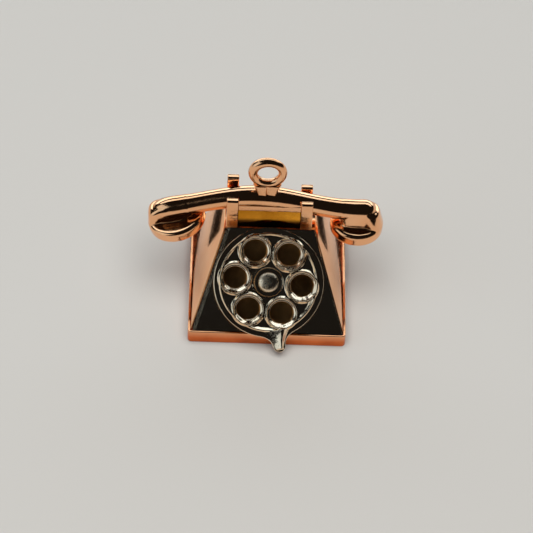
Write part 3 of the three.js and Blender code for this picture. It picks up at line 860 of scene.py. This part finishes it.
def make_wheel():
    """The finger wheel, cast in one: a flat web with its tab, a rim, a collar round each hole and a hub."""
    holes = [arc(centre, HOLE_RADIUS + 0.08, 0, 352, 44) for centre in hole_centres()]
    holes.append(arc((0, 0), WELL_RADIUS, 0, 352, 44))
    bm = bmesh.new()
    plate(bm, flange_outline(), holes, WEB_LOW, WEB_TOP)
    outer = WELL_RADIUS + 0.1
    well = [(BORE_RADIUS, WEB_LOW), (outer, WEB_LOW), (outer, WELL_FLOOR), (BORE_RADIUS, WELL_FLOOR)]
    lathe(bm, well, 64, closed=True)
    wheel_rim(bm)
    for centre in hole_centres():
        hole_collar(bm, centre)
    hub = [(WELL_RADIUS, 0.5), (WELL_RADIUS, 0.74), (1.54, 0.78), (HUB_OUTER, WEB_TOP), (HUB_OUTER, 0.5)]
    lathe(bm, hub, 80, closed=True)
    tab_ridge(bm)
    mesh = cast(mesh_from(bm), voxel=0.052, smoothing=4)
    uneven(mesh, broad=0.05, fine=0.008)
    finish_piece("dial_wheel", mesh, dial_gold, DIAL, ["finger_wheel"],
                 place=dial_place, angle=180)


def make_rivet():
    """A hammered-over head: a low dome with a flattened, slightly off-centre top."""
    bm = bmesh.new()
    shank, dome_radius, dome_rise, lean_start = 0.4, 1.04, 0.4, WELL_FLOOR + 0.3
    profile = [(shank, WELL_FLOOR - 1.4), (shank, WELL_FLOOR + 0.05), (0.96, WELL_FLOOR + 0.03)]
    profile += arc((0.86, WELL_FLOOR + 0.2), 0.17, -80, 30, 6)
    for i in range(1, 12):
        angle = math.radians(12 + 78 * i / 12)
        profile.append((dome_radius * math.cos(angle) ** 0.9,
                        WELL_FLOOR + 0.22 + dome_rise * math.sin(angle) ** 1.15))
    lathe(bm, profile, 72)
    for vert in bm.verts:
        above = vert.co.z - lean_start
        if above > 0:
            wobble = 0.05 * math.sin(2 * math.atan2(vert.co.y, vert.co.x) + 0.7)
            vert.co.x += 0.25 * above * (0.3 + wobble)
            vert.co.y -= 0.2 * above * (0.3 - wobble)
    finish_piece("rivet_head", mesh_from(bm), rivet_gold, BODY, ["dial_rivet"],
                 place=dial_place)


make_wheel()
make_rivet()

# ---- Carried-over nodes with finer materials ----
for node_name, node_material in (
    ("base_plate", side_gold),
    ("earpiece_cap", side_gold),
    ("mouthpiece_cap", side_gold),
    ("dial_backing_disc", inner_gold),
    ("dial_spacer", inner_gold),
    ("rivet_washer", inner_gold),
):
    node_object = frame["nodes"][node_name]
    node_object.data.materials.clear()
    node_object.data.materials.append(node_material)

# ---- Studio ----
FLOOR_COLOUR = (0.60, 0.585, 0.56)
FLOOR_HALF = 2.0
FLOOR_DROP = 0.00001  # the floor lies this far under the charm's underside
FLAG_COLOUR = (0.012, 0.011, 0.010)
FLAG_AWAY = 12.4  # in millimetres, as are the next four
FLAG_NEAR, FLAG_FAR = 7.5, 20.0
FLAG_LOW, FLAG_HIGH = 0.3, 4.6
DARK_WORLD = (0.010, 0.010, 0.010)
SKY_COLOUR = (0.74, 0.89, 1.0)
WARM_WHITE = (1.0, 0.97, 0.93)
LIGHT_DISTANCE = 0.5


def flat_sheet(name, corners, material):
    """A four-sided sheet that doesn't belong to the charm, with its corners in metres."""
    bm = bmesh.new()
    bm.faces.new([bm.verts.new(corner) for corner in corners])
    mesh = bpy.data.meshes.new(name)
    bm.to_mesh(mesh)
    bm.free()
    mesh.materials.append(material)
    sheet = bpy.data.objects.new(name, mesh)
    bpy.context.scene.collection.objects.link(sheet)
    return sheet


def make_floor():
    material, shader = new_material("floor")
    shader.inputs["Base Color"].default_value = (*FLOOR_COLOUR, 1)
    shader.inputs["Roughness"].default_value = 0.9
    shader.inputs["Specular IOR Level"].default_value = 0.1
    ends = ((-1, -1), (1, -1), (1, 1), (-1, 1))
    corners = [(x * FLOOR_HALF, y * FLOOR_HALF, -FLOOR_DROP) for x, y in ends]
    floor = flat_sheet("floor", corners, material)


def area_light(name, azimuth, elevation, width, height, power, colour, shiny=True):
    """A soft light at a compass place round the charm: azimuth 0 is in front, 90 to the right."""
    a, e = math.radians(azimuth), math.radians(elevation)
    away = Vector((math.sin(a) * math.cos(e), -math.cos(a) * math.cos(e), math.sin(e)))
    data = bpy.data.lights.new(name, "AREA")
    data.shape = "RECTANGLE"
    data.size, data.size_y = width, height
    data.energy = power
    data.color = colour
    lamp = bpy.data.objects.new(name, data)
    lamp.location = away * LIGHT_DISTANCE
    lamp.rotation_mode = "QUATERNION"
    lamp.rotation_quaternion = away.to_track_quat("Z", "Y")
    lamp.visible_glossy = shiny
    bpy.context.scene.collection.objects.link(lamp)
    return lamp


def make_world():
    """The world is pale to the camera, as the floor is, and dark to everything else."""
    world = bpy.data.worlds.new("studio")
    bpy.context.scene.world = world
    world.use_nodes = True
    tree = world.node_tree
    tree.nodes.clear()
    output = tree.nodes.new("ShaderNodeOutputWorld")
    mixer = tree.nodes.new("ShaderNodeMixShader")
    path = tree.nodes.new("ShaderNodeLightPath")
    dark = tree.nodes.new("ShaderNodeBackground")
    dark.inputs["Color"].default_value = (*DARK_WORLD, 1)
    pale = tree.nodes.new("ShaderNodeBackground")
    pale.inputs["Color"].default_value = (*FLOOR_COLOUR, 1)
    link(tree, path.outputs["Is Camera Ray"], mixer.inputs["Fac"])
    link(tree, dark.outputs["Background"], mixer.inputs[1])
    link(tree, pale.outputs["Background"], mixer.inputs[2])
    link(tree, mixer.outputs["Shader"], output.inputs["Surface"])


def make_flags():
    """Two low black cards beside the charm, as used for shiny jewellery: only reflections see them."""
    material, shader = new_material("flag")
    shader.inputs["Base Color"].default_value = (*FLAG_COLOUR, 1)
    shader.inputs["Roughness"].default_value = 1.0
    ends = ((FLAG_NEAR, FLAG_LOW), (FLAG_FAR, FLAG_LOW), (FLAG_FAR, FLAG_HIGH), (FLAG_NEAR, FLAG_HIGH))
    for name, x in (("flag_left", -FLAG_AWAY), ("flag_right", FLAG_AWAY)):
        card = flat_sheet(name, [Vector((x, y, z)) * MM for y, z in ends], material)
        card.visible_camera = False
        card.visible_diffuse = False
        card.visible_shadow = False


make_floor()
make_world()
make_flags()
area_light("fill_over", 0, 80, 0.6, 0.6, 3.2, WARM_WHITE, shiny=False)
area_light("sky_behind", 180, 14.5, 1.2, 0.24, 2.2, SKY_COLOUR)
sky_above = area_light("sky_above", 180, 55, 1.2, 0.17, 1.1, SKY_COLOUR)
sky_above.visible_diffuse = False
area_light("window_left", -70, 24, 0.44, 0.4, 0.5, SKY_COLOUR)
bpy.context.scene.view_settings.view_transform = "Standard"
